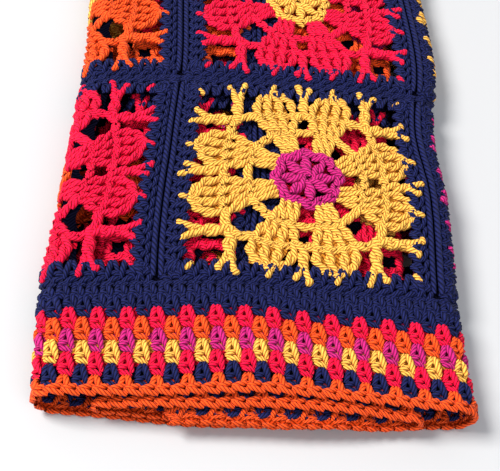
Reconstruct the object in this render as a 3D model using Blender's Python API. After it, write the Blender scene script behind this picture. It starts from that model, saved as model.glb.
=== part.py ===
# A crocheted blanket of joined square motifs with a striped border, rolled up flat into a long
# stack of layers. Lengths are in metres. The stack lies along Y on the plane z = 0, with its
# origin under the middle of its box.
#
# Two places are used. On the flat cloth, u runs across the columns of squares and v along the
# rows, and both start at the corner of the first square. In the world, the cloth is folded about
# lines that run along Y, so u turns into x and z, and v into y.

import math

import bmesh
import bpy
import numpy as np
from mathutils import Vector
from mathutils.geometry import delaunay_2d_cdt

# The flat cloth.
SQUARE = 0.125
COLUMNS = 5
ROWS = 4
BORDER = 0.053
THICK = 0.0036
SEAM_GAP = 0.0003

# The folded stack. PITCH is the height from one layer to the next, and SQUEEZE the share of it
# that is lost where five layers lie on each other, not four.
WIDTH = 0.1875
PITCH = 0.0056
SQUEEZE = 0.214
BOTTOM_RUN = 0.111
LEFT_INSET = 0.0187
RIGHT_INSET = 0.018
RAMP_CLEAR = 0.002
OUTER_STEPS = 8
INNER_STEPS = 6
RAMP_STEPS = 4
CLOSEST_LINES = 0.0005
MERGE = 1e-5

# Openings of one square: the corners of one of each kind, in squares from its middle. Each kind is
# repeated on all four sides.
CORNER_GAP = ((0.295, 0.295), (0.392, 0.322), (0.392, 0.392), (0.322, 0.392))
SLANT_GAP = ((0.165, 0.165), (0.232, 0.187), (0.255, 0.255), (0.187, 0.232))
MIDDLE_GAP = ((0.155, 0.0), (0.195, -0.024), (0.23, 0.0), (0.195, 0.024))

# The flat layers in the order of u. Way is 1 where u runs along +X and the right side faces up.
# Lift counts the layers that are always below. A layer sinks past the free edge of the bottom
# layer, and of the inner layer, over the two lengths given. Forward is how far its near hem lies
# in front of the top layer's.
LAYERS = {
    # layer: (way, lift, past_bottom, past_inner, forward)
    "bottom": (-1, 0, 0.018, 0.022, 0.0075),
    "top": (1, 2, 0.050, 0.040, 0.0000),
    "under": (-1, 0, 0.018, 0.022, 0.0095),
    "second": (1, 1, 0.032, 0.022, 0.0040),
    "inner": (-1, 1, 0.024, 0.022, 0.0115),
}

# How uneven the stack lies, along its rows: the extra height of each layer, and how far the left
# and the right side stand out.
UNEVEN = (
    # row, loft, left, right
    (-0.5, 0.0000, 0.0040, 0.0030),
    (0.0, 0.0005, 0.0055, -0.0010),
    (0.5, 0.0011, 0.0005, -0.0005),
    (0.8, 0.0010, -0.0015, -0.0030),
    (1.2, 0.0006, -0.0030, 0.0040),
    (1.8, 0.0002, -0.0005, 0.0020),
    (2.4, 0.0006, 0.0015, 0.0000),
    (3.1, 0.0008, -0.0010, -0.0010),
    (3.8, 0.0005, 0.0010, 0.0020),
    (4.5, 0.0000, 0.0020, 0.0010),
)


def fold_lengths():
    """The stretches of u in order, each with its first and last u."""
    flat = WIDTH - THICK - 3 * PITCH
    outer = math.pi * 1.5 * PITCH
    inner = math.pi * 0.5 * PITCH
    runs = (
        ("bottom", BOTTOM_RUN),
        ("left_outer", outer),
        ("top", flat),
        ("right_outer", outer),
        ("under", flat - LEFT_INSET),
        ("left_inner", inner),
        ("second", flat - LEFT_INSET - RIGHT_INSET),
        ("right_inner", inner),
    )
    stretches = {}
    at = -BORDER
    for name, length in runs:
        stretches[name] = (at, at + length)
        at += length
    stretches["inner"] = (at, COLUMNS * SQUARE + BORDER)
    return stretches


RUNS = fold_lengths()
SIDE = 0.5 * (WIDTH - THICK) - 1.5 * PITCH
BOTTOM_END = BOTTOM_RUN - SIDE
INNER_END = SIDE - RIGHT_INSET - (RUNS["inner"][1] - RUNS["inner"][0])
STARTS = {
    "bottom": BOTTOM_END,
    "top": -SIDE,
    "under": SIDE,
    "second": -SIDE + LEFT_INSET,
    "inner": SIDE - RIGHT_INSET,
}
FIRST_HEIGHT = 0.5 * THICK
MIDDLE_X = 0.5 * (max(row[3] for row in UNEVEN) - max(row[2] for row in UNEVEN))
MIDDLE_Y = 0.5 * (ROWS * SQUARE - max(layer[4] for layer in LAYERS.values()))
SLOPE_STEP = 1e-5


def soft_step(t):
    t = min(max(t, 0.0), 1.0)
    return t * t * (3 - 2 * t)


def layer_height(layer, x, pitch):
    """The height of a layer's mid-plane at x."""
    _, lift, past_bottom, past_inner, _ = LAYERS[layer]
    if layer == "bottom":
        return FIRST_HEIGHT
    over_bottom = 1 - soft_step((x - BOTTOM_END - RAMP_CLEAR) / past_bottom)
    by_inner = 1 - soft_step((INNER_END - RAMP_CLEAR - x) / past_inner)
    below = lift + over_bottom
    if layer in ("top", "second"):
        below += by_inner
    return FIRST_HEIGHT + pitch * (1 - SQUEEZE * over_bottom * by_inner) * below


def on_curve(row):
    """The loft and the side offsets at a row, on a smooth curve through the table."""
    table = np.array(UNEVEN)
    slopes = np.gradient(table[:, 1:], table[:, 0], axis=0)
    i = int(np.clip(np.searchsorted(table[:, 0], row) - 1, 0, len(table) - 2))
    span = table[i + 1, 0] - table[i, 0]
    t = (row - table[i, 0]) / span
    start = (2 * t**3 - 3 * t**2 + 1) * table[i, 1:] + (t**3 - 2 * t**2 + t) * span * slopes[i]
    end = (3 * t**2 - 2 * t**3) * table[i + 1, 1:] + (t**3 - t**2) * span * slopes[i + 1]
    return start + end


HALF_ROWS = np.arange(-0.5, ROWS + 0.6, 0.5)
UNEVEN_AT = np.array([on_curve(row) for row in HALF_ROWS])


def uneven(row):
    """The loft and the side offsets at a row, straight from one half row to the next."""
    return [np.interp(row, HALF_ROWS, column) for column in UNEVEN_AT.T]


def layer_middles():
    return [0.5 * (RUNS[layer][0] + RUNS[layer][1]) for layer in LAYERS]


def forward(u):
    """How far the cloth at u lies in front of where it would in a square-cut stack."""
    return float(np.interp(u, layer_middles(), [layer[4] for layer in LAYERS.values()]))


def section(u, pitch):
    """The mid-plane's x and z at u, and the cloth's right-side normal there."""
    name = next((n for n, (_, last) in RUNS.items() if u <= last), "inner")
    first, last = RUNS[name]
    along = u - first
    if name in LAYERS:
        way = LAYERS[name][0]
        x = STARTS[name] + way * along
        z = layer_height(name, x, pitch)
        slope = (layer_height(name, x + SLOPE_STEP, pitch) - z) / SLOPE_STEP
        size = math.hypot(1, slope)
        return x, z, -way * slope / size, way / size
    middle, way, reach, turn = {
        "left_outer": (-SIDE, -1, 1.5, 1),
        "right_outer": (SIDE, 1, 1.5, -1),
        "left_inner": (-SIDE + LEFT_INSET, -1, 0.5, 1),
        "right_inner": (SIDE - RIGHT_INSET, 1, 0.5, -1),
    }[name]
    angle = math.pi * along / (last - first)
    out = math.sin(angle) * way
    up = -math.cos(angle) * turn
    radius = reach * pitch
    centre = FIRST_HEIGHT + 1.5 * pitch
    return middle + radius * out, centre + radius * up, out, up


def folded(u, v, rise):
    """The world place of a point of the cloth that stands this far off its mid-plane."""
    loft, left, right = uneven(v / SQUARE)
    x, z, across, up = section(u, PITCH + loft)
    share = 0.5 + x / WIDTH
    x += rise * across - left * (1 - share) + right * share - MIDDLE_X
    return Vector((x, v - MIDDLE_Y - forward(u), z + rise * up))


def crease_lines():
    """The values of u where the folded cloth bends."""
    lines = layer_middles()
    for name, (first, last) in RUNS.items():
        if name not in LAYERS:
            steps = OUTER_STEPS if name.endswith("outer") else INNER_STEPS
            lines += list(np.linspace(first, last, steps + 1))
    for layer, (way, _, past_bottom, past_inner, _) in LAYERS.items():
        ramps = [] if layer == "bottom" else [(BOTTOM_END + RAMP_CLEAR, past_bottom)]
        if layer in ("top", "second", "under"):
            ramps.append((INNER_END - RAMP_CLEAR - past_inner, past_inner))
        for start, length in ramps:
            for x in np.linspace(start, start + length, RAMP_STEPS + 1):
                lines.append(RUNS[layer][0] + way * (x - STARTS[layer]))
    spaced = []
    for line in sorted(lines):
        if not spaced or line - spaced[-1] > CLOSEST_LINES:
            spaced.append(line)
    return spaced


def square_gaps():
    """The corners of every opening on the flat cloth, one closed loop each."""
    loops = []
    turns = [(math.cos(a), math.sin(a)) for a in (k * math.pi / 2 for k in range(4))]
    for column in range(COLUMNS):
        for row in range(ROWS):
            for c, s in turns:
                for gap in (CORNER_GAP, SLANT_GAP, MIDDLE_GAP):
                    loops.append([
                        (
                            (column + 0.5 + c * p - s * q) * SQUARE,
                            (row + 0.5 + s * p + c * q) * SQUARE,
                        )
                        for p, q in gap
                    ])
    return loops


def inside(point, loop):
    """Whether a point lies in a convex loop."""
    px, py = point
    signs = [
        (bx - ax) * (py - ay) - (by - ay) * (px - ax) > 0
        for (ax, ay), (bx, by) in zip(loop, loop[1:] + loop[:1])
    ]
    return all(signs) or not any(signs)


def rectangle(left, near, right, far):
    return [(left, near), (right, near), (right, far), (left, far)]


def flat_piece(outline, holes, across, along):
    """The piece before it is folded, with edges along its bends. Here z is the rise."""
    points = []
    edges = []
    for loop in [outline] + holes:
        start = len(points)
        points += [Vector(p) for p in loop]
        edges += [(start + k, start + (k + 1) % len(loop)) for k in range(len(loop))]
    (left, near), _, (right, far), _ = outline
    lines = [((u, near), (u, far)) for u in across if left < u < right]
    lines += [((left, v), (right, v)) for v in along if near < v < far]
    for ends in lines:
        edges.append((len(points), len(points) + 1))
        points += [Vector(p) for p in ends]
    found, _, faces, _, _, _ = delaunay_2d_cdt(points, edges, [], 0, MERGE)
    shape = bmesh.new()
    corners = [shape.verts.new((u, v, -0.5 * THICK)) for u, v in found]
    for face in faces:
        middle = sum((found[k] for k in face), Vector((0, 0))) / len(face)
        if inside(middle, outline) and not any(inside(middle, hole) for hole in holes):
            shape.faces.new([corners[k] for k in face])
    loose = [corner for corner in shape.verts if not corner.link_faces]
    bmesh.ops.delete(shape, geom=loose, context="VERTS")
    raised = bmesh.ops.extrude_face_region(shape, geom=shape.faces[:], use_keep_orig=True)
    upper = [item for item in raised["geom"] if isinstance(item, bmesh.types.BMVert)]
    bmesh.ops.translate(shape, verts=upper, vec=(0, 0, THICK))
    bmesh.ops.recalc_face_normals(shape, faces=shape.faces[:])
    return shape


def fabric(name, colour):
    material = bpy.data.materials.new(name)
    material.use_nodes = True
    shader = material.node_tree.nodes["Principled BSDF"]
    shader.inputs["Base Color"].default_value = (*colour, 1)
    shader.inputs["Roughness"].default_value = 0.85
    shader.inputs["Metallic"].default_value = 0.0
    return material


def folded_piece(name, shape, material):
    """One closed solid: a flat piece, folded with the blanket."""
    for corner in shape.verts:
        corner.co = folded(*corner.co)
    mesh = bpy.data.meshes.new(name)
    shape.to_mesh(mesh)
    shape.free()
    mesh.materials.append(material)
    piece = bpy.data.objects.new(name, mesh)
    bpy.context.collection.objects.link(piece)
    return piece


for old in list(bpy.data.objects):
    bpy.data.objects.remove(old, do_unlink=True)

bends = crease_lines()
rows = list(SQUARE * HALF_ROWS[1:-1])

# The squares, crocheted one by one and joined into one panel.
panel_edge = rectangle(0.0, 0.0, COLUMNS * SQUARE, ROWS * SQUARE)
folded_piece(
    "squares_panel",
    flat_piece(panel_edge, square_gaps(), bends, rows),
    fabric("navy_yarn", (0.012, 0.018, 0.085)),
)

# The border, crocheted round the panel, 0.3 mm off it.
border_edge = rectangle(-BORDER, -BORDER, COLUMNS * SQUARE + BORDER, ROWS * SQUARE + BORDER)
border_hole = rectangle(
    -SEAM_GAP,
    -SEAM_GAP,
    COLUMNS * SQUARE + SEAM_GAP,
    ROWS * SQUARE + SEAM_GAP,
)
folded_piece(
    "striped_border",
    flat_piece(border_edge, [border_hole], bends, rows),
    fabric("orange_yarn", (0.87, 0.13, 0.02)),
)
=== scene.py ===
import math

import bpy
import numpy as np
from mathutils import Matrix


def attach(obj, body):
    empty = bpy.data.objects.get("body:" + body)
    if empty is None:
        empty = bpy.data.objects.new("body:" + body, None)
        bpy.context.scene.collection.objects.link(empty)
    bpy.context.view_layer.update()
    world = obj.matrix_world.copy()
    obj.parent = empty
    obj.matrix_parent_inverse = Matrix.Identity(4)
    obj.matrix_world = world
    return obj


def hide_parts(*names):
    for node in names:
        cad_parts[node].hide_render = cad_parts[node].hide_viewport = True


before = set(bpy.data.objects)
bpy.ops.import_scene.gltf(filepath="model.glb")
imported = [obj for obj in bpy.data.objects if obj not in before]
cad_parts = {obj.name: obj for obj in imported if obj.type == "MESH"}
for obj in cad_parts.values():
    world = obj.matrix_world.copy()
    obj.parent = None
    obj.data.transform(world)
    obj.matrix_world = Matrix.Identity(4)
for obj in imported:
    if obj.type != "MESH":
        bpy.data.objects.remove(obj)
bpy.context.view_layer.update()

# A crocheted lap blanket of joined squares with a striped border, folded into a flat roll. On the
# flat cloth u runs across the columns of squares and v along the rows, from the corner of the
# first square, and rise is the height off the cloth's middle on its right side.

# The cloth: a thin sheet inside the stitches, rolled lengthwise in five layers. It carries the
# colour of the yarn that is worked there, darkened as painted shade, and is open where the lace is.
# Its sizes are in metres.
SQUARE = 0.125
COLUMNS = 5
ROWS = 4
BORDER = 0.053
THICK = 0.0036
# The folded width, and the step from the middle of one layer to the middle of the next.
WIDTH = 0.1875
PITCH = 0.0056
# The flat width of the bottom layer, and how far the inner folds lie inside the outer ones.
BOTTOM_RUN = 0.111
LEFT_INSET = 0.0187
RIGHT_INSET = 0.018
# The layers above come down past the free edges of the bottom and the inner layer. They start
# this far past an edge, and this part of a step is lost where both lie below.
RAMP_CLEAR = 0.002
SQUEEZE = 0.214
FLAT = WIDTH - THICK - 3 * PITCH
SIDE = 0.5 * FLAT
# The radius of an outer and of an inner fold, in steps, and the cloth that goes round it.
OUTER_REACH = 1.5
INNER_REACH = 0.5
OUTER = math.pi * OUTER_REACH * PITCH
INNER = math.pi * INNER_REACH * PITCH

# The stretches of u: bottom, left outer fold, top, right outer fold, under, left inner fold,
# second, right inner fold, and inner, which takes what is left. AT holds where each one starts.
RUNS = np.array((
    BOTTOM_RUN,
    OUTER,
    FLAT,
    OUTER,
    FLAT - LEFT_INSET,
    INNER,
    FLAT - LEFT_INSET - RIGHT_INSET,
    INNER,
))
AT = np.concatenate(([-BORDER], -BORDER + np.cumsum(RUNS), [COLUMNS * SQUARE + BORDER]))
BOTTOM = 0
TOP = 2
SECOND = 6
LAST = 8
# The free edges of the bottom and of the inner layer, in x.
BOTTOM_END = BOTTOM_RUN - SIDE
INNER_END = SIDE - RIGHT_INSET - (AT[LAST + 1] - AT[LAST])
# Of each flat stretch: its start in x, its way along x, how many steps up it is where neither the
# bottom nor the inner layer is below, and over what length it comes down past the edge of each.
START = np.array((BOTTOM_END, 0, -SIDE, 0, SIDE, 0, -SIDE + LEFT_INSET, 0, SIDE - RIGHT_INSET))
WAY = np.array((-1, -1, 1, 1, -1, -1, 1, 1, -1))
LIFT = np.array((0, 0, 2, 0, 0, 0, 1, 0, 1))
PAST_BOTTOM = np.array((1, 1, 0.050, 1, 0.018, 1, 0.032, 1, 0.024))
PAST_INNER = np.array((1, 1, 0.040, 1, 0.022, 1, 0.022, 1, 0.022))
# Of each fold: its middle in x, its radius in steps, and which way it turns.
ROUND = np.array((0, -SIDE, 0, SIDE, 0, -SIDE + LEFT_INSET, 0, SIDE - RIGHT_INSET, 0))
REACH = np.array((0, OUTER_REACH, 0, OUTER_REACH, 0, INNER_REACH, 0, INNER_REACH, 0))
TURN = np.array((0, 1, 0, -1, 0, 1, 0, -1, 0))
# How far each flat stretch is set towards the near hem.
FORWARD = (0.0075, 0.0, 0.0095, 0.004, 0.0115)
MIDDLES = 0.5 * (AT[0:9:2] + AT[1:10:2])
# How uneven the roll is: row, loft of a step, left side out, right side out.
UNEVEN = np.array((
    (-0.5, 0.0000, 0.0040, 0.0030),
    (0.0, 0.0005, 0.0055, -0.0010),
    (0.5, 0.0011, 0.0005, -0.0005),
    (0.8, 0.0010, -0.0015, -0.0030),
    (1.2, 0.0006, -0.0030, 0.0040),
    (1.8, 0.0002, -0.0005, 0.0020),
    (2.4, 0.0006, 0.0015, 0.0000),
    (3.1, 0.0008, -0.0010, -0.0010),
    (3.8, 0.0005, 0.0010, 0.0020),
    (4.5, 0.0000, 0.0020, 0.0010),
))
MIDDLE_X = 0.5 * (UNEVEN[:, 3].max() - UNEVEN[:, 2].max())
MIDDLE_Y = 0.5 * (ROWS * SQUARE - max(FORWARD))
# Nothing goes lower than this.
LOWEST = 0.0001


def soft_step(t):
    t = np.clip(t, 0, 1)
    return t * t * (3 - 2 * t)


def curve_through(values, t):
    """Points on a smooth curve through rows of values, which stand at t = 0, 1, 2 and so on."""
    values = np.asarray(values, float)
    slopes = np.gradient(values, axis=0)
    i = np.clip(t.astype(int), 0, len(values) - 2)
    f = (t - i)[:, None]
    return (
        (2 * f**3 - 3 * f**2 + 1) * values[i]
        + (f**3 - 2 * f**2 + f) * slopes[i]
        + (3 * f**2 - 2 * f**3) * values[i + 1]
        + (f**3 - f**2) * slopes[i + 1]
    )


def layer_height(k, x, pitch):
    """The height of the middle of flat stretch k at x."""
    over_bottom = 1 - soft_step((x - BOTTOM_END - RAMP_CLEAR) / PAST_BOTTOM[k])
    over_inner = 1 - soft_step((INNER_END - RAMP_CLEAR - x) / PAST_INNER[k])
    steps = LIFT[k] + over_bottom + over_inner * ((k == TOP) | (k == SECOND))
    squeezed = pitch * (1 - SQUEEZE * over_bottom * over_inner)
    return 0.5 * THICK + np.where(k == BOTTOM, 0, squeezed * steps)


def folded(flat):
    """Where points of the flat cloth, rows of u, v and rise, lie in the folded blanket."""
    u, v, rise = flat.T
    row = v / SQUARE
    place = np.interp(row, UNEVEN[:, 0], np.arange(len(UNEVEN)))
    loft, left, right = curve_through(UNEVEN[:, 1:], place).T
    pitch = PITCH + loft
    k = np.clip(np.searchsorted(AT, u, side="left") - 1, BOTTOM, LAST)
    along = u - AT[k]
    x = START[k] + WAY[k] * along
    z = layer_height(k, x, pitch)
    step = 1e-5
    slope = (layer_height(k, x + step, pitch) - layer_height(k, x - step, pitch)) / (2 * step)
    size = np.hypot(1, slope)
    angle = math.pi * along / (AT[k + 1] - AT[k])
    out = np.sin(angle) * WAY[k]
    up = -np.cos(angle) * TURN[k]
    is_flat = k % 2 == 0
    middle_z = 0.5 * THICK + OUTER_REACH * pitch
    x = np.where(is_flat, x, ROUND[k] + REACH[k] * pitch * out)
    z = np.where(is_flat, z, middle_z + REACH[k] * pitch * up)
    out = np.where(is_flat, -WAY[k] * slope / size, out)
    up = np.where(is_flat, WAY[k] / size, up)
    share = 0.5 + x / WIDTH
    x = x + rise * out - left * (1 - share) + right * share - MIDDLE_X
    y = v - MIDDLE_Y - np.interp(u, MIDDLES, FORWARD)
    return np.column_stack((x, y, np.maximum(z + rise * up, LOWEST)))


# How the joined squares pull each other out of line: column and row of the middle of each pull,
# its reach in squares, and how far it goes across and along.
PULLS = (
    (1.0, 0.45, 0.35, -0.0025, 0.0),
    (2.0, 0.5, 0.35, 0.0018, 0.0),
    (1.53, 0.5, 0.42, 0.0038, 0.0008),
    (1.5, 1.4, 0.4, 0.0, 0.0012),
    (0.4, 2.6, 0.5, 0.0012, 0.0015),
    (2.6, 2.3, 0.5, -0.0015, 0.0010),
    (3.5, 0.6, 0.5, 0.0010, -0.0012),
)
# How far the cloth wanders in its plane and ripples out of it, and how deep and wide the joins
# across it are sunk, up to a little past the first and the last of them.
WANDER = 0.0006
RIPPLE = 0.0004
JOIN_DEPTH = 0.0007
JOIN_WIDTH = 0.003
PAST_JOINS = 0.004


def pulled(flat):
    """Flat points after the pulls, with the joins sunk and the cloth a little wavy."""
    u, v, rise = flat.T
    moved_u = u.copy()
    moved_v = v.copy()
    for column, row, reach, across, along in PULLS:
        near = np.exp(-((u / SQUARE - column) ** 2 + (v / SQUARE - row) ** 2) / reach**2)
        moved_u += across * near
        moved_v += along * near
    moved_u += WANDER * np.sin(v / 0.021 + 3.0 * np.sin(u / 0.09))
    moved_v += WANDER * np.sin(u / 0.019 + 2.0 * np.sin(v / 0.07))
    inside = (v > -PAST_JOINS) & (v < ROWS * SQUARE + PAST_JOINS)
    off_join = np.abs(v / SQUARE - np.round(v / SQUARE)) * SQUARE
    sunk = JOIN_DEPTH * np.exp(-((off_join / JOIN_WIDTH) ** 2)) * inside
    wave = RIPPLE * np.sin(u / 0.017 + v / 0.023) * np.sin(v / 0.031 - u / 0.041)
    return np.column_stack((moved_u, moved_v, rise - sunk + wave))


def mesh_piece(name, points, faces, uvs, materials, material_of=None):
    """A smooth mesh object from arrays of points, four-cornered faces and a UV for each corner."""
    mesh = bpy.data.meshes.new(name)
    mesh.vertices.add(len(points))
    mesh.vertices.foreach_set("co", points.astype(np.float32).ravel())
    mesh.loops.add(faces.size)
    mesh.loops.foreach_set("vertex_index", faces.astype(np.int32).ravel())
    mesh.polygons.add(len(faces))
    mesh.polygons.foreach_set("loop_start", np.arange(0, faces.size, 4, dtype=np.int32))
    if material_of is not None:
        mesh.polygons.foreach_set("material_index", material_of.astype(np.int32))
    mesh.update(calc_edges=True)
    mesh.uv_layers.new(name="strand").uv.foreach_set("vector", uvs.astype(np.float32).ravel())
    mesh.shade_smooth()
    for material in materials:
        mesh.materials.append(material)
    piece = bpy.data.objects.new(name, mesh)
    bpy.context.collection.objects.link(piece)
    return piece


# The yarn: matt cotton, four plies twisted together. A strand's UV holds how far along it a point
# is, in turns of the twist, and how far round it.
PLIES = 4
TWIST_LENGTH = 0.0085
PLY_DEPTH = 0.0006
FIBRE_SCALE = 1.6
FUZZ_SCALE = 2600.0
PATCH_SCALE = 160.0
# What the fibres in a ply and the fuzz on it add to its height.
FIBRE_HEIGHT = 0.45
FUZZ_HEIGHT = 0.35
# The least, and what is added at most: painted light on a ply, which is shaded towards its
# grooves and streaked by its fibres, brightness by patches of dye, and roughness by the fuzz.
PAINTED_PLY_LIGHT = (0.65, 0.7)
BRIGHTNESS = (0.82, 0.36)
ROUGHNESS = (0.52, 0.3)
SHEEN_ROUGHNESS = 0.45


def yarn_group():
    """The twist, as a normal, a colour with painted shade in the grooves between the plies, and a
    roughness.
    """
    group = bpy.data.node_groups.new("plied_yarn", "ShaderNodeTree")
    sockets = group.interface
    sockets.new_socket("Yarn", in_out="INPUT", socket_type="NodeSocketColor")
    sockets.new_socket("Groove shade", in_out="INPUT", socket_type="NodeSocketColor")
    sockets.new_socket("Colour", in_out="OUTPUT", socket_type="NodeSocketColor")
    sockets.new_socket("Roughness", in_out="OUTPUT", socket_type="NodeSocketFloat")
    sockets.new_socket("Normal", in_out="OUTPUT", socket_type="NodeSocketVector")
    nodes = group.nodes
    links = group.links

    def math_node(operation, first, second=None):
        node = nodes.new("ShaderNodeMath")
        node.operation = operation
        for socket, value in zip(node.inputs, (first, second)):
            if value is None:
                continue
            if isinstance(value, bpy.types.NodeSocket):
                links.new(value, socket)
            else:
                socket.default_value = value
        return node.outputs[0]

    def plus(least, value, most):
        """The least, plus the value from 0 to 1 times the most that it adds."""
        return math_node("ADD", least, math_node("MULTIPLY", value, most))

    def noise(vector, scale):
        node = nodes.new("ShaderNodeTexNoise")
        node.inputs["Scale"].default_value = scale
        node.inputs["Detail"].default_value = 2.0
        links.new(vector, node.inputs["Vector"])
        return node.outputs["Fac"]

    given = nodes.new("NodeGroupInput")
    result = nodes.new("NodeGroupOutput")
    strand_uv = nodes.new("ShaderNodeUVMap")
    strand_uv.uv_map = "strand"
    parts = nodes.new("ShaderNodeSeparateXYZ")
    links.new(strand_uv.outputs["UV"], parts.inputs[0])
    place = nodes.new("ShaderNodeTexCoord").outputs["Object"]

    # Each ply is a half round, and the fibres in it run along it.
    phase = math_node("MULTIPLY", math_node("ADD", parts.outputs["X"], parts.outputs["Y"]), PLIES)
    within = math_node("FRACT", phase)
    centred = math_node("ABSOLUTE", math_node("SUBTRACT", math_node("MULTIPLY", within, 2.0), 1.0))
    ply = math_node("SUBTRACT", 1.0, math_node("POWER", centred, 2.0))
    lay = nodes.new("ShaderNodeCombineXYZ")
    links.new(math_node("MULTIPLY", phase, 3.0), lay.inputs["X"])
    links.new(math_node("SUBTRACT", parts.outputs["X"], parts.outputs["Y"]), lay.inputs["Y"])
    fibres = noise(lay.outputs[0], FIBRE_SCALE)
    fuzz = noise(place, FUZZ_SCALE)
    patches = noise(place, PATCH_SCALE)

    bump = nodes.new("ShaderNodeBump")
    bump.inputs["Strength"].default_value = 1.0
    bump.inputs["Distance"].default_value = PLY_DEPTH
    height = plus(plus(ply, fibres, FIBRE_HEIGHT), fuzz, FUZZ_HEIGHT)
    links.new(height, bump.inputs["Height"])
    links.new(bump.outputs["Normal"], result.inputs["Normal"])

    # Painted shade: each ply goes from the yarn's colour on its crown to the groove shade at its
    # edges, streaked by its fibres.
    light = math_node("MULTIPLY", ply, plus(PAINTED_PLY_LIGHT[0], fibres, PAINTED_PLY_LIGHT[1]))
    mix = nodes.new("ShaderNodeMix")
    mix.data_type = "RGBA"
    links.new(math_node("MINIMUM", light, 1.0), mix.inputs["Factor"])
    links.new(given.outputs["Groove shade"], mix.inputs["A"])
    links.new(given.outputs["Yarn"], mix.inputs["B"])
    vary = nodes.new("ShaderNodeHueSaturation")
    links.new(plus(BRIGHTNESS[0], patches, BRIGHTNESS[1]), vary.inputs["Value"])
    links.new(mix.outputs["Result"], vary.inputs["Color"])
    links.new(vary.outputs[0], result.inputs["Colour"])
    links.new(plus(ROUGHNESS[0], fuzz, ROUGHNESS[1]), result.inputs["Roughness"])
    return group


PLIED = yarn_group()


def yarn(name, colour, groove_shade, sheen, shine=0.15):
    """The material of one yarn, with its own colour and a darker colour painted in its grooves as
    shade.
    """
    material = bpy.data.materials.new(name)
    material.use_nodes = True
    tree = material.node_tree
    shader = tree.nodes["Principled BSDF"]
    twist = tree.nodes.new("ShaderNodeGroup")
    twist.node_tree = PLIED
    twist.inputs["Yarn"].default_value = (*colour, 1)
    twist.inputs["Groove shade"].default_value = (*groove_shade, 1)
    tree.links.new(twist.outputs["Colour"], shader.inputs["Base Color"])
    tree.links.new(twist.outputs["Roughness"], shader.inputs["Roughness"])
    tree.links.new(twist.outputs["Normal"], shader.inputs["Normal"])
    shader.inputs["Sheen Weight"].default_value = sheen
    shader.inputs["Sheen Roughness"].default_value = SHEEN_ROUGHNESS
    shader.inputs["Specular IOR Level"].default_value = shine
    return material


NAVY, RED, ORANGE, YELLOW, MAGENTA = range(5)
SLOTS = ("navy_yarn", "red_yarn", "orange_yarn", "yellow_yarn", "magenta_yarn")
# The second colour of each yarn is the painted shade in its grooves.
YARNS = (
    yarn("navy_cotton", (0.0095, 0.0140, 0.090), (0.0004, 0.0004, 0.002), 0.01, 0.12),
    yarn("red_cotton", (0.98, 0.002, 0.055), (0.30, 0.001, 0.010), 0.02),
    yarn("orange_cotton", (0.96, 0.095, 0.009), (0.38, 0.020, 0.002), 0.03),
    yarn("yellow_cotton", (0.98, 0.54, 0.090), (0.42, 0.12, 0.008), 0.03),
    yarn("magenta_cotton", (0.62, 0.015, 0.20), (0.17, 0.002, 0.045), 0.03),
)
# The same cotton deep between the stitches, darkened as painted shade.
PAINTED_SHADE_YARNS = (
    yarn("painted_shade_navy", (0.0025, 0.0025, 0.008), (0.0005, 0.0005, 0.001), 0.0, 0.0),
    yarn("painted_shade_red", (0.50, 0.001, 0.019), (0.13, 0.001, 0.004), 0.0, 0.05),
    yarn("painted_shade_orange", (0.52, 0.040, 0.004), (0.16, 0.009, 0.001), 0.0, 0.05),
    yarn("painted_shade_yellow", (0.54, 0.21, 0.020), (0.20, 0.05, 0.003), 0.0, 0.05),
    yarn("painted_shade_magenta", (0.27, 0.005, 0.075), (0.07, 0.001, 0.016), 0.0, 0.05),
)

# Petal yarn and middle yarn of each square, one row of squares after another from the near hem.
SQUARE_COLOURS = (
    ((RED, ORANGE), (YELLOW, MAGENTA), (MAGENTA, ORANGE), (RED, ORANGE), (RED, YELLOW)),
    ((ORANGE, YELLOW), (RED, YELLOW), (YELLOW, RED), (ORANGE, RED), (ORANGE, MAGENTA)),
    ((MAGENTA, RED), (ORANGE, MAGENTA), (RED, ORANGE), (YELLOW, ORANGE), (MAGENTA, YELLOW)),
    ((YELLOW, ORANGE), (MAGENTA, YELLOW), (ORANGE, RED), (RED, MAGENTA), (YELLOW, RED)),
)
# The stripes of the border outwards, and how far off the squares each one starts, in mm.
STRIPES = (
    (RED, 11.0),
    (ORANGE, 16.5),
    (MAGENTA, 22.0),
    (YELLOW, 27.5),
    (RED, 33.0),
    (NAVY, 38.5),
    (ORANGE, 44.0),
)
# The middle line of a petal, the right one of the pair above a square's middle, and how far the
# cloth reaches to each side of it, in mm.
PETAL_LINE = ((7.6, 15.5), (9.8, 22.0), (11.8, 28.5), (15.0, 41.0), (16.4, 56.0))
PETAL_HALF = (
    (15.5, 0.0),
    (18.0, 3.5),
    (25.0, 4.5),
    (28.0, 4.5),
    (40.0, 9.5),
    (45.0, 8.5),
    (52.0, 3.0),
    (54.0, 0.0),
)
# Where the large openings of a square are: from and to the nearer, and from and to the farther,
# of the two distances from its middle lines, in mm.
LARGE_OPENINGS = ((38.0, 49.5, 38.0, 49.5), (21.5, 30.5, 21.5, 30.5), (-1.0, 2.5, 20.0, 28.0))
# The radius of the cloth in a square's middle where the lace is open and where it isn't, how far
# out the navy starts, and how far inside a stripe its colour starts, in mm.
OPEN_MIDDLE = 5.0
CLOSED_MIDDLE = 15.0
NAVY_FROM = 53.0
STRIPE_IN = 0.5
# All openings of the top layer are open from this far inside the outer folds.
TOP_IN = 0.004
# The cloth is made of square cells of this size.
CELL = 0.003125
# How far inside the hem the cloth ends, and how it lies off the middle of the stitches.
HEM_IN = 0.001
CLOTH_RISE = -0.0004
# How often the edges of the openings are rounded off, and how far at a time.
ROUNDINGS = 3
ROUNDED = 0.6


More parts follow.
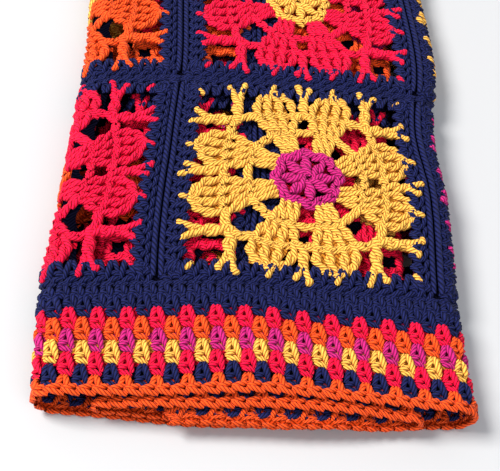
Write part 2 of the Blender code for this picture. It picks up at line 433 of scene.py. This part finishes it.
def cell_yarn(u, v):
    """The yarn at the middles of cells of the flat cloth, or -1 where the lace is open. On all
    but the top layer only the large openings are left out, and the others are closed in near-black
    navy, as painted shade."""
    column = np.clip(np.floor(u / SQUARE), 0, COLUMNS - 1).astype(int)
    row = np.clip(np.floor(v / SQUARE), 0, ROWS - 1).astype(int)
    x = np.abs(u / SQUARE - column - 0.5) * SQUARE * 1000
    y = np.abs(v / SQUARE - row - 0.5) * SQUARE * 1000
    far = np.maximum(x, y)
    near = np.minimum(x, y)
    colours = np.array(SQUARE_COLOURS)[row, column]
    line = np.array(PETAL_LINE)
    half = np.array(PETAL_HALF)
    off = np.abs(near - np.interp(far, line[:, 1], line[:, 0]))
    found = np.where(off < np.interp(far, half[:, 0], half[:, 1]), colours[:, 0], -1)
    closed = (u < AT[TOP] + TOP_IN) | (u > AT[TOP + 1] - TOP_IN)
    for near_from, near_to, far_from, far_to in LARGE_OPENINGS:
        large = (near > near_from) & (near < near_to) & (far > far_from) & (far < far_to)
        closed = closed & ~large
    # Painted shade: closed cells outside the petals take the near-black navy, where the openings
    # would show only shadow.
    found = np.where(closed & (found < 0), NAVY, found)
    middle = np.where(closed, CLOSED_MIDDLE, OPEN_MIDDLE)
    found = np.where(np.hypot(x, y) < middle, colours[:, 1], found)
    found = np.where(far > NAVY_FROM, NAVY, found)
    off_panel = np.maximum(
        np.maximum(-u, u - COLUMNS * SQUARE), np.maximum(-v, v - ROWS * SQUARE)
    ) * 1000
    found = np.where(off_panel > 0, NAVY, found)
    for colour, start in STRIPES:
        found = np.where(off_panel > start + STRIPE_IN, colour, found)
    return found


across = round((COLUMNS * SQUARE + 2 * BORDER) / CELL)
along = round((ROWS * SQUARE + 2 * BORDER) / CELL)
line_u = np.linspace(-BORDER + HEM_IN, COLUMNS * SQUARE + BORDER - HEM_IN, across + 1)
line_v = np.linspace(-BORDER + HEM_IN, ROWS * SQUARE + BORDER - HEM_IN, along + 1)
grid_u, grid_v = np.meshgrid(line_u, line_v)
flat = np.column_stack((grid_u.ravel(), grid_v.ravel(), np.full(grid_u.size, CLOTH_RISE)))
i, j = np.meshgrid(np.arange(across), np.arange(along))
corner = (j * (across + 1) + i).ravel()
cells = np.column_stack((corner, corner + 1, corner + across + 2, corner + across + 1))
cell_middles = flat[cells].mean(axis=1)
cell_colours = cell_yarn(cell_middles[:, 0], cell_middles[:, 1])
kept = cell_colours >= 0
used, cells = np.unique(cells[kept], return_inverse=True)
cells = cells.reshape(-1, 4)
flat = flat[used]
# The strands in it lean to one side and the other by turns, as under a row of stitches.
lean = (used % (across + 1)) % 2 * CELL
cloth_uv = np.column_stack((flat[:, 1], lean))[cells] / TWIST_LENGTH
edges = np.vstack([cells[:, [k, (k + 1) % 4]] for k in range(4)])
edges, times = np.unique(np.sort(edges, axis=1), axis=0, return_counts=True)
edges = edges[times == 1]
for _ in range(ROUNDINGS):
    beside = np.zeros_like(flat)
    count = np.zeros(len(flat))
    for a, b in (edges.T, edges.T[::-1]):
        np.add.at(beside, a, flat[b])
        np.add.at(count, a, 1)
    on_edge = count > 0
    between = beside[on_edge] / count[on_edge, None]
    flat[on_edge] = (1 - ROUNDED) * flat[on_edge] + ROUNDED * between
cloth = mesh_piece(
    "cloth",
    folded(pulled(flat)),
    cells,
    cloth_uv,
    PAINTED_SHADE_YARNS,
    cell_colours[kept],
)
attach(cloth, "root")
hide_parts("squares_panel", "striped_border")


# The stitches of the squares: double knitting cotton, about 2.2 mm thick, worked from the middle
# out. One square is laid out flat in mm, about its own middle, and repeated in each place.
STITCH = 6.25
# How far a hand sets a treble and a stem off its place.
TREBLE_OFF = 0.25
STEM_OFF = 0.3
# The ends of a strand, in parts of its radius: how wide it is where it runs on unseen, and where
# it is closed by one more ring, and how far out and how wide that ring is.
OPEN_END = 0.75
CLOSED_END = 0.9
RING_OUT = 0.55
RING_SIZE = 0.35
rng = np.random.default_rng(11)


def strand(controls, radius, rings=4, sides=5, closed=False):
    """A tube of yarn through control points (x, y, rise) in mm, as points, faces and UVs."""
    path = curve_through(controls, np.linspace(0, len(controls) - 1, rings))
    size = np.full(rings, float(radius))
    if closed:
        first = path[0] - path[1]
        last = path[-1] - path[-2]
        first *= RING_OUT * radius / np.linalg.norm(first)
        last *= RING_OUT * radius / np.linalg.norm(last)
        path = np.vstack((path[0] + first, path, path[-1] + last))
        size[0] *= CLOSED_END
        size[-1] *= CLOSED_END
        size = np.concatenate(([RING_SIZE * radius], size, [RING_SIZE * radius]))
    else:
        size[0] *= OPEN_END
        size[-1] *= OPEN_END
    tangent = np.gradient(path, axis=0)
    tangent /= np.linalg.norm(tangent, axis=1)[:, None]
    side = np.cross((0, 0, 1.0), tangent)
    side /= np.linalg.norm(side, axis=1)[:, None]
    up = np.cross(tangent, side)
    angle = 2 * math.pi * np.arange(sides) / sides
    ring = side[:, None] * np.cos(angle)[:, None] + up[:, None] * np.sin(angle)[:, None]
    points = path[:, None] + ring * size[:, None, None]
    i, j = np.meshgrid(np.arange(len(path) - 1), np.arange(sides), indexing="ij")
    k = (j + 1) % sides
    faces = np.stack((i * sides + j, i * sides + k, (i + 1) * sides + k, (i + 1) * sides + j), -1)
    far = np.concatenate(([0], np.cumsum(np.linalg.norm(np.diff(path, axis=0), axis=1))))
    far = far / (TWIST_LENGTH * 1000) + rng.random()
    uvs = np.stack((
        np.stack((far[i], j / sides), -1),
        np.stack((far[i], (j + 1) / sides), -1),
        np.stack((far[i + 1], (j + 1) / sides), -1),
        np.stack((far[i + 1], j / sides), -1),
    ), 2)
    return points.reshape(-1, 3), faces.reshape(-1, 4), uvs.reshape(-1, 4, 2)


def joined(shapes):
    """Several shapes as one."""
    points, faces, uvs = zip(*shapes)
    first = np.cumsum([0] + [len(p) for p in points[:-1]])
    faces = [f + start for f, start in zip(faces, first)]
    return np.vstack(points), np.vstack(faces), np.vstack(uvs)


# A stem as it shows on the right side: strands with their radius and their points, across in half
# widths, along from foot to head, and rise in mm. It is an arch with a small hole under it, and a
# bar and the next loop behind.
STEM = (
    (1.35, ((-0.20, 0.00, 0.0), (-0.36, 0.19, 1.1), (-0.74, 0.52, -0.4))),
    (1.45, ((0.22, 0.00, 0.2), (0.36, 0.20, 1.3), (0.70, 0.50, 0.9), (0.92, 0.76, -0.8))),
    (1.35, ((-0.94, 0.68, -0.7), (-0.34, 0.62, 0.9), (0.30, 0.50, -0.5))),
    (1.4, ((-0.78, 0.80, -0.8), (0.06, 0.86, 0.7), (0.80, 0.92, -0.8))),
)
# How high a treble lies, how high its two strands climb over each other, and how far they are
# turned at its foot, in half turns.
POST_RISE = 0.35
POST_CLIMB = 0.85
POST_START = 0.1
# Each of the two strands of a chain stitch: how far along the stitch its points are, how far off
# the middle in widths, and how high in mm. The curve has this many points for each stitch.
LOOP_ALONG = np.array((-0.05, 0.35, 0.75, 1.15))
LOOP_OFF = np.array((0.0, 0.55, 1.0, 1.2))
LOOP_RISE = np.array((0.6, 0.5, 0.1, -0.7))
LOOP_POINTS = 8


def stem(kind, foot, head, half_foot, half_head, lift=0.0):
    """The strands of one stitch from foot to head, with its half width at each end."""
    foot = np.array(foot, float)
    way = np.array(head, float) - foot
    side = np.array((way[1], -way[0])) / np.hypot(*way)
    strands = []
    for radius, line in kind:
        across, along, rise = np.array(line).T
        half = half_foot + (half_head - half_foot) * along
        off = across * half
        xy = foot + along[:, None] * way + off[:, None] * side
        strands.append(strand(np.column_stack((xy, rise + lift)), radius, len(line)))
    return strands


def post(foot, head, radius, spread, turns, bow=0.0, rings=6, tip=0.0):
    """Two strands that turn about each other, as in a treble or at the root of an arm."""
    foot = np.array(foot, float) + rng.normal(0, TREBLE_OFF, 2)
    way = np.array(head, float) + rng.normal(0, TREBLE_OFF, 2) - foot
    side = np.array((way[1], -way[0])) / np.hypot(*way)
    t = np.linspace(0, 1, rings)
    strands = []
    for half in (0, 1):
        angle = math.pi * (turns * t + half + POST_START)
        off = spread * np.cos(angle) + bow * np.sin(math.pi * t)
        xy = foot + t[:, None] * way + off[:, None] * side
        lift = POST_RISE + POST_CLIMB * np.sin(angle) + tip * t**2
        strands.append(strand(np.column_stack((xy, lift)), radius, rings))
    return strands


def chain(controls, stitches, width, radius, rise=0.35, sides=5):
    """A row of chain stitches along a curve: two strands a stitch, each from inside the last."""
    path = curve_through(controls, np.linspace(0, len(controls) - 1, LOOP_POINTS * stitches + 1))
    path = np.vstack((2 * path[0] - path[1], path, 2 * path[-1] - path[-2]))
    far = np.concatenate(([0], np.cumsum(np.linalg.norm(np.diff(path, axis=0), axis=1))))
    first = far[1]
    length = (far[-2] - first) / stitches
    tangent = np.gradient(path, far, axis=0)
    strands = []
    for stitch in range(stitches):
        for hand in (-1, 1):
            at = first + (stitch + LOOP_ALONG) * length
            off = hand * width * LOOP_OFF
            middle = np.column_stack([np.interp(at, far, path[:, c]) for c in (0, 1)])
            along = np.column_stack([np.interp(at, far, tangent[:, c]) for c in (0, 1)])
            side = np.column_stack((-along[:, 1], along[:, 0]))
            xy = middle + off[:, None] * side
            strands.append(strand(np.column_stack((xy, rise + LOOP_RISE)), radius, 4, sides))
    return strands


def turned(shapes, quarter):
    """Shapes turned about a square's middle by quarter turns."""
    c = round(math.cos(quarter * math.pi / 2))
    s = round(math.sin(quarter * math.pi / 2))
    turn = np.array(((c, s, 0), (-s, c, 0), (0, 0, 1.0)))
    return [(points @ turn, faces, uvs) for points, faces, uvs in shapes]


def nub(x, y, angle, radius, length, rise=0.45):
    """The short loop at the end of a stem."""
    dx = 0.5 * length * math.cos(angle)
    dy = 0.5 * length * math.sin(angle)
    line = ((x - dx, y - dy, rise), (x, y, rise + 0.1), (x + dx, y + dy, rise))
    return strand(line, radius, rings=3, sides=6, closed=True)


# The petals, in mm: the radius of their strands, how far each treble stands off the petal's middle
# line, as a number of spacings, and the spacings at foot and head. They stand in three tiers.
PETAL_STRAND = 1.45
FIRST_TIER = (-1, 0, 1)
NEXT_TIERS = (-1.5, -0.5, 0.5, 1.5)
FIRST_SPACING = (2.9, 4.2)
SECOND_SPACING = (3.5, 6.2)
LAST_SPACING = (6.2, 1.8)
# How much nearer the square's middle a place is, for each mm to the outer side of the line.
DROOP = 0.12


def petal(hand):
    """One petal, on the right (1) or left (-1) of the pair above: trebles by three, four and four,
    with the heads of each row in a chain across it, and the last four closed into one."""
    line = np.array(PETAL_LINE)

    def spot(y, b):
        """The place b mm to the outer side of the petal's middle line at y."""
        return hand * (np.interp(y, line[:, 1], line[:, 0]) + b), y - DROOP * b

    def treble(b, foot_y, head_y, spacing, spread, turns, **more):
        foot = spot(foot_y, spacing[0] * b)
        head = spot(head_y, spacing[1] * b)
        return post(foot, head, PETAL_STRAND, spread, turns, **more)

    def head_row(stitches, *spots):
        row = [(*spot(y, b), 0) for y, b in spots]
        return chain(row[::hand], stitches, width=0.9, radius=1.15, rise=0.1)

    shapes = []
    for b in FIRST_TIER:
        shapes += treble(b, 14.6, 26.4, FIRST_SPACING, 1.4, 1.5, rings=5)
    for b in NEXT_TIERS:
        shapes += treble(b, 27.6, 38.4 - 0.6 * b * b, SECOND_SPACING, 1.55, 1.8)
        foot_y = 40.0 - 0.8 * b * b
        head_y = 54.4 - 0.6 * b * b
        bow = 2.0 * b * hand
        shapes += treble(b, foot_y, head_y, LAST_SPACING, 1.5, 2.4, bow=bow, rings=7, tip=0.4)
    shapes += head_row(2, (26.0, -6.0), (27.4, 0.0), (26.0, 6.0))
    shapes += head_row(4, (36.8, -12.6), (39.0, -6.4), (39.6, 0.0), (39.0, 6.4), (36.8, 12.6))
    cap = ((51.8, -4.0, 0.6), (54.2, 0, 1.3), (52.2, 4.0, 0.6))
    shapes.append(strand([(*spot(y, b), rise) for y, b, rise in cap], 1.6, 5, closed=True))
    shapes.append(nub(*spot(56.6, -0.6), 1.2, radius=1.5, length=3.4, rise=1.5))
    return shapes


# The lace round the petals, as points in mm: the chains between them with their stitches, width
# and radius, then the forked stem in the middle of a side and the forked arm of a corner, each
# with its root, its fork and its two tips, and the knots on the arm with their angles.
LACE_CHAINS = (
    (((4.6, 28.2, 0), (0, 28.8, 0), (-4.6, 28.2, 0)), 2, 1.1, 1.35),
    (((15.4, 26.4, 0), (21, 21, 0), (26.4, 15.4, 0)), 3, 1.2, 1.4),
    (((4.2, 39.0, 0), (0, 40.4, 0), (-4.2, 39.0, 0)), 2, 1.2, 1.35),
)
SIDE_STEM = ((0.4, 40.4), (0.2, 52.0))
SIDE_TIPS = (
    ((0.2, 49.0), (-1.2, 54.0), (-2.6, 58.8)),
    ((0.6, 49.0), (2.0, 53.0), (3.4, 56.8)),
)
ARM_CHAIN = ((24.0, 37.6, 0), (29.4, 36.6, 0), (34.4, 34.4, 0))
ARM = ((34.0, 35.0), (34.2, 52.4))
ARM_TIPS = (
    ((33.4, 49.2), (32.2, 53.2), (31.0, 57.0)),
    ((35.2, 48.6), (36.8, 51.8), (38.8, 54.8)),
)
ARM_KNOTS = ((34.2, 40.0, 0.5), (34.2, 46.0, 0.9))
TIP_STRAND = 1.85
TIP_RISE = (0.3, 1.1, 1.4)
DIAGONAL = 0.785


def either(points, arm):
    """Points as they are, or with across and along exchanged."""
    return [(p[1 - arm], p[arm], *p[2:]) if arm == 0 else tuple(p) for p in points]


def petal_round():
    """The petals of one side, with the chains between them, the forked stem in the middle of the
    side, and the forked arms and the loop of one corner."""
    shapes = petal(1) + petal(-1)
    for line, stitches, width, radius in LACE_CHAINS:
        shapes += chain(line, stitches, width, radius)
    shapes += post(*SIDE_STEM, radius=1.8, spread=1.6, turns=2.0)
    tips = list(SIDE_TIPS)
    for arm in (1, 0):
        shapes += chain(either(ARM_CHAIN, arm), 2, width=1.2, radius=1.4)
        shapes += post(*either(ARM, arm), radius=1.9, spread=1.8, turns=2.3, rings=7)
        tips += [either(tip, arm) for tip in ARM_TIPS]
        for knot in either(ARM_KNOTS, arm):
            shapes.append(nub(*knot, radius=1.5, length=5.4, rise=1.1))
    shapes.append(nub(34.4, 34.4, DIAGONAL, radius=1.9, length=4.4))
    shapes.append(nub(51.8, 53.8, DIAGONAL, radius=1.5, length=4.0, rise=1.3))
    for tip in tips:
        line = [(*spot, rise) for spot, rise in zip(tip, TIP_RISE)]
        shapes.append(strand(line, TIP_STRAND, closed=True))
        x, y = tip[-1]
        shapes.append(nub(x, y, rng.uniform(0, 3.0), radius=1.7, length=2.4, rise=1.5))
    return shapes


petal_stitches = joined([s for quarter in range(4) for s in turned(petal_round(), quarter)])

# The middle of a square: eight trebles from a closed ring, with a chain round their heads. The
# radii are those of the ring, the heads, and the chain at and between the heads, in mm.
SPOKES = 8
ROSETTE_TURN = 0.12
RING_RADIUS = 1.4
HEAD_RADIUS = 13.4
RIM_RADII = (16.6, 14.2)
rosette = []
for spoke in range(SPOKES):
    angle = 2 * spoke * math.pi / SPOKES + ROSETTE_TURN
    c = math.cos(angle)
    s = math.sin(angle)
    foot = (RING_RADIUS * c, RING_RADIUS * s)
    rosette += post(foot, (HEAD_RADIUS * c, HEAD_RADIUS * s), 1.65, 1.4, 1.6)
rim = []
for k in range(2 * SPOKES + 1):
    angle = ROSETTE_TURN + math.pi * k / SPOKES
    radius = RIM_RADII[k % 2]
    rim.append((radius * math.cos(angle), radius * math.sin(angle), 0))
rosette += chain(rim, 2 * SPOKES, width=1.4, radius=1.5, rise=0.5)
rosette_stitches = joined(rosette)

# The navy round: stems that stand on the edge of the petals, with three in each corner. Along the
# long joins they lean, with their feet towards the far end of the blanket.
NAVY_PLACES = range(-8, 9)
# How far out the feet are, and half the width of a stem, in mm.
NAVY_FOOT = 50.6
NAVY_HALF = 3.1
# How far the feet of each side are to the side of their heads, and how far out the heads are.
NAVY_SIDES = ((0.0, 61.4), (4.0, 59.4), (0.0, 61.4), (-4.0, 59.4))
# The feet and heads of the three stems in a corner.
NAVY_CORNER = (
    ((51.6, 52.6), (55.6, 59.4)),
    ((52.6, 51.6), (59.4, 55.6)),
    ((52.0, 52.0), (60.4, 60.4)),
)
# How close the feet stand, in parts of a stitch, and how high the stems lie.
NAVY_CLOSE = 0.98
NAVY_LIFT = 0.4


def navy_side(lean, head_y):
    """The navy stems of one side and of the corner at its end."""
    stems = []
    for place in NAVY_PLACES:
        x = STITCH * place
        off = rng.normal(0, STEM_OFF, 2)
        foot = (NAVY_CLOSE * x + lean + off[0], NAVY_FOOT + off[1])
        stems += stem(STEM, foot, (x, head_y), NAVY_HALF, NAVY_HALF, NAVY_LIFT)
    for foot, head in NAVY_CORNER:
        stems += stem(STEM, foot, head, 2.0, 2.9)
    return stems


navy_stems = joined([
    s
    for quarter, (lean, head_y) in enumerate(NAVY_SIDES)
    for s in turned(navy_side(lean, head_y), quarter)
])
edge_line = [(x, 61.6, 0) for x in np.linspace(-62.2, 62.2, 5)]
across_edge = chain(edge_line, round(SQUARE * 1000 / STITCH), width=0.5, radius=1.0, rise=-0.5)
# The slip stitches of the long joins lie end to end, as a cord of three plies.
edge_line = [(x, 60.8, 0.4 + 0.25 * (k % 2)) for k, x in enumerate(np.linspace(-58.6, 58.6, 21))]
points, faces, uvs = strand(edge_line, 1.35, rings=21, sides=8)
along_edge = [(points, faces, 3 / PLIES * uvs)]
navy_chains = joined([
    s for quarter, edge in enumerate((across_edge, along_edge) * 2) for s in turned(edge, quarter)
])


def repeated(shape, places, across=1.0):
    """A shape in mm at each place: its middle on the flat cloth in metres, and quarter turns. Its
    size across the blanket is multiplied by the number across."""
    copies = []
    for u, v, quarter in places:
        points, faces, uvs = turned([shape], quarter)[0]
        copies.append((points * (0.001 * across, 0.001, 0.001) + (u, v, 0), faces, uvs))
    return joined(copies)


def stitched(name, shape, colour, *nodes):
    """A piece of stitches, laid flat in metres, folded with the cloth."""
    points, faces, uvs = shape
    piece = mesh_piece(name, folded(pulled(points)), faces, uvs, [YARNS[colour]])
    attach(piece, "root")
    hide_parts(*nodes)
    return piece


# The petals are drawn in a little across the blanket, and off the middle of their square.
DRAWN_IN = 0.967
OFF_MIDDLE = (-0.0020, 0.0012, 0.0005, -0.0006, 0.0)
square_places = []
petal_places = []
for row in range(ROWS):
    for column in range(COLUMNS):
        u = (column + 0.5) * SQUARE
        v = (row + 0.5) * SQUARE
        square_places.append((u, v, 0))
        petal_places.append((u + OFF_MIDDLE[column], v, (column + 2 * row) % 4))
square_yarns = [pair for row in SQUARE_COLOURS for pair in row]
pieces = [
    stitched("square_stems_navy", repeated(navy_stems, square_places), NAVY, "squares_panel"),
    stitched("square_chains_navy", repeated(navy_chains, square_places), NAVY, "squares_panel"),
]
for colour in (RED, ORANGE, YELLOW, MAGENTA):
    worked = []
    for kind, stitches in ((0, petal_stitches), (1, rosette_stitches)):
        places = [p for p, pair in zip(petal_places, square_yarns) if pair[kind] == colour]
        if places:
            worked.append(repeated(stitches, places, DRAWN_IN))
    name = "petals_" + SLOTS[colour].removesuffix("_yarn")
    pieces.append(stitched(name, joined(worked), colour, "squares_panel"))

# The border: seven stripes of clusters, each between two of the stripe before. They stand on a
# navy round of stems and clusters, and end in a chain edge. Each side is laid out as x along it
# and y outwards, in mm.
REPEAT = 2 * STITCH
CLUSTER = 11.0
CLUSTER_HALF = 3.15
BASE = 6.0
cluster = joined(stem(STEM, (0, 0.5), (0, 11.3), CLUSTER_HALF, CLUSTER_HALF))
short_cluster = joined(stem(STEM[:2], (0, 0.5), (0, 10.0), CLUSTER_HALF, CLUSTER_HALF))
base_stem = joined(stem(STEM, (0.0, 0.4), (0.0, 7.0), NAVY_HALF, NAVY_HALF))
# The backs of the clusters show from this far off the squares, where the layers gape. A back is
# flatter than its front, and lies this much lower, and under the middle of the cloth.
BACKS_FROM = 33.0
BACK_FLAT = 0.7
BACK_DROP = 0.5
BACK_UNDER = -0.6
LAST_BACK = 0.6
# start corner, way along, way outwards, length in squares
SIDES = (
    ((0, 0), (1, 0), (0, -1), COLUMNS),
    ((1, 0), (0, 1), (1, 0), ROWS),
    ((1, 1), (-1, 0), (0, 1), COLUMNS),
    ((0, 1), (0, -1), (-1, 0), ROWS),
)
# How far a hand sets a cluster along and out of its place, and how far it turns it.
CLUSTER_OFF = (0.2, 0.2, 0.035)
# How near the corners a row still has clusters, and how far out the one in the corner is, in
# parts of the spacing and of the height of the row.
CORNER_CLEAR = 0.3
CORNER_OUT = 0.2


def back_of(shape, length):
    """The back of a stitch, with this much of its length."""
    points, faces, uvs = shape
    points = points * (1, length, -BACK_FLAT) - (0, 0, BACK_DROP)
    points[:, 2] = np.minimum(points[:, 2], BACK_UNDER)
    return points, faces[:, ::-1], uvs[:, ::-1]


def row_places(start, height, spacing, offset):
    """Where a shape goes in a row that starts this far off the squares, in mm, on each side."""
    places = []
    for side, (_, _, _, squares) in enumerate(SIDES):
        length = squares * SQUARE * 1000
        middle = start + 0.5 * height
        clear = CORNER_CLEAR * spacing
        at = np.arange(-10, int(length / spacing) + 10) * spacing + offset
        at = at[(at > -middle + clear) & (at < length + middle - clear)]
        for x in at:
            slip, shift, lean = rng.normal(0, CLUSTER_OFF)
            places.append((side, x + slip, start + shift, lean))
        out = start + CORNER_OUT * height
        places.append((side, length + out, out, -math.pi / 4))
    return places


def along_border(shape, places):
    """Copies of a shape in mm on the sides of the border, flat, in metres."""
    points, faces, uvs = shape
    copies = []
    for side, x, y, lean in places:
        corner, way, outwards, _ = SIDES[side]
        c = math.cos(lean)
        s = math.sin(lean)
        local_x = x + c * points[:, 0] - s * points[:, 1]
        local_y = y + s * points[:, 0] + c * points[:, 1]
        start = np.array((corner[0] * COLUMNS * SQUARE, corner[1] * ROWS * SQUARE))
        spot = start + 0.001 * (local_x[:, None] * way + local_y[:, None] * outwards)
        copies.append((np.column_stack((spot, 0.001 * points[:, 2])), faces[:, ::-1], uvs[:, ::-1]))
    return joined(copies)


worked = {colour: [] for colour in range(5)}
for shape, start, height, spacing, offset in (
    (base_stem, 0.0, BASE, STITCH, NAVY_HALF),
    (base_stem, 5.0, BASE, REPEAT, 0.0),
    (cluster, 5.0, CLUSTER, REPEAT, STITCH),
):
    worked[NAVY].append(along_border(shape, row_places(start, height, spacing, offset)))
for stripe, (colour, start) in enumerate(STRIPES):
    is_last = stripe == len(STRIPES) - 1
    offset = stripe % 2 * STITCH
    front = row_places(start, CLUSTER, REPEAT, offset)
    worked[colour].append(along_border(short_cluster if is_last else cluster, front))
    if start >= BACKS_FROM:
        back = row_places(start, CLUSTER, REPEAT, offset + STITCH)
        shape = back_of(cluster, LAST_BACK if is_last else 1.0)
        worked[colour].append(along_border(shape, back))
for colour, shapes in worked.items():
    name = "border_" + SLOTS[colour].removesuffix("_yarn")
    pieces.append(stitched(name, joined(shapes), colour, "striped_border"))

EDGE_LINE = 50.6
edge = []
for side, (_, _, _, squares) in enumerate(SIDES):
    span = squares * SQUARE * 1000 + 2 * EDGE_LINE
    line = [(span * f - EDGE_LINE, EDGE_LINE, 0) for f in np.linspace(0, 1, 9)]
    shape = joined(chain(line, round(span / STITCH), width=1.55, radius=1.3, rise=0.5, sides=6))
    edge.append(along_border(shape, [(side, 0.0, 0.0, 0.0)]))
pieces.append(stitched("edge_chain", joined(edge), ORANGE, "striped_border"))


# The floor, the lights and the camera. The camera is the one that was fitted to the photograph,
# with its focal length in pixels of a picture of this width.
FLOOR_HALF = 3
AZIMUTH = math.radians(8.97)
ELEVATION = math.radians(55.07)
ROLL = math.radians(10.37)
CAMERA_PLACE = (-0.04695, -0.4868, 0.4122)
FOCAL_LENGTH = 1018
PICTURE_WIDTH = 500
SENSOR_WIDTH = 36.0

floor_mesh = bpy.data.meshes.new("floor")
floor_mesh.from_pydata(
    [(x * FLOOR_HALF, y * FLOOR_HALF, 0) for x, y in ((-1, -1), (1, -1), (1, 1), (-1, 1))],
    [],
    [(0, 1, 2, 3)],
)
floor_mesh.materials.append(bpy.data.materials.new("pale_floor"))
floor_mesh.materials[0].use_nodes = True
paint = floor_mesh.materials[0].node_tree.nodes["Principled BSDF"]
paint.inputs["Base Color"].default_value = (0.47, 0.475, 0.485, 1)
paint.inputs["Roughness"].default_value = 0.6
floor = bpy.data.objects.new("floor", floor_mesh)
bpy.context.collection.objects.link(floor)


def soft_light(name, place, size, power, colour):
    """A round light that faces the middle of the blanket."""
    light = bpy.data.lights.new(name, "AREA")
    light.shape = "DISK"
    light.size = size
    light.energy = power
    light.color = colour
    lamp = bpy.data.objects.new(name, light)
    bpy.context.collection.objects.link(lamp)
    lamp.location = place
    lamp.rotation_euler = lamp.location.to_track_quat("Z", "Y").to_euler()


soft_light("key_light", (-1.76, 0.16, 2.24), 1.2, 140.0, (1.0, 0.98, 0.95))
soft_light("fill_light", (0.9, -1.95, 1.65), 1.8, 26.0, (0.95, 0.97, 1.0))
world = bpy.data.worlds.new("studio")
world.use_nodes = True
world.node_tree.nodes["Background"].inputs["Color"].default_value = (0.93, 0.95, 1.0, 1)
world.node_tree.nodes["Background"].inputs["Strength"].default_value = 0.58
bpy.context.scene.world = world
bpy.context.scene.view_settings.view_transform = "Standard"

ahead = np.array((
    math.sin(AZIMUTH) * math.cos(ELEVATION),
    math.cos(AZIMUTH) * math.cos(ELEVATION),
    -math.sin(ELEVATION),
))
level = np.array((math.cos(AZIMUTH), -math.sin(AZIMUTH), 0.0))
over = np.cross(level, ahead)
right = math.cos(ROLL) * level + math.sin(ROLL) * over
above = -math.sin(ROLL) * level + math.cos(ROLL) * over
camera_data = bpy.data.cameras.new("camera")
camera_data.sensor_width = SENSOR_WIDTH
camera_data.lens = FOCAL_LENGTH * SENSOR_WIDTH / PICTURE_WIDTH
camera = bpy.data.objects.new("camera", camera_data)
camera.matrix_world = Matrix((*np.column_stack((right, above, -ahead, CAMERA_PLACE)), (0, 0, 0, 1)))
bpy.context.collection.objects.link(camera)
bpy.context.scene.camera = camera
